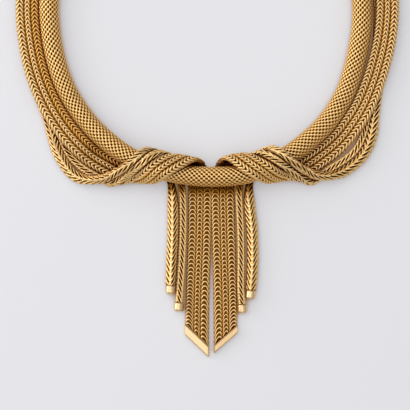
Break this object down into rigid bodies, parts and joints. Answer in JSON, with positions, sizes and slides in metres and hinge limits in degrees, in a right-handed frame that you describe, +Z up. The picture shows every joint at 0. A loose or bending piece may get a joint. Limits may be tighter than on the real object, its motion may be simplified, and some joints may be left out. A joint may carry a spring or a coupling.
{
  "type": "collar necklace",
  "caption": "Woven collar necklace lying flat: a hollow mesh rope wrapped at the front by flat bands and square chains that hang as a fringe, closed at the back by a box clasp.",
  "frame": {"origin": "middle of the outline seen from above, on the surface that the necklace lies on", "axes": "+Y from the fringe to the clasp, +Z up from the surface, +X to the right as it is seen from above"},
  "size_m": [0.1597, 0.2247, 0.0139],
  "materials": {
    "woven_gold": "woven wire, bright on the crests and brown in the gaps",
    "polished_gold": "polished"
  },
  "bodies": {
    "root": {"mesh_rope": "woven_gold", "band_left": "woven_gold", "band_right": "woven_gold", "strand_left_outer": "woven_gold", "strand_left_inner": "woven_gold", "strand_right_inner": "woven_gold", "strand_right_outer": "woven_gold", "cap_left_outer": "polished_gold", "cap_left_inner": "polished_gold", "cap_right_inner": "polished_gold", "cap_right_outer": "polished_gold", "bar_left": "polished_gold", "bar_right": "polished_gold", "clasp": "polished_gold"}
  },
  "joints": []
}
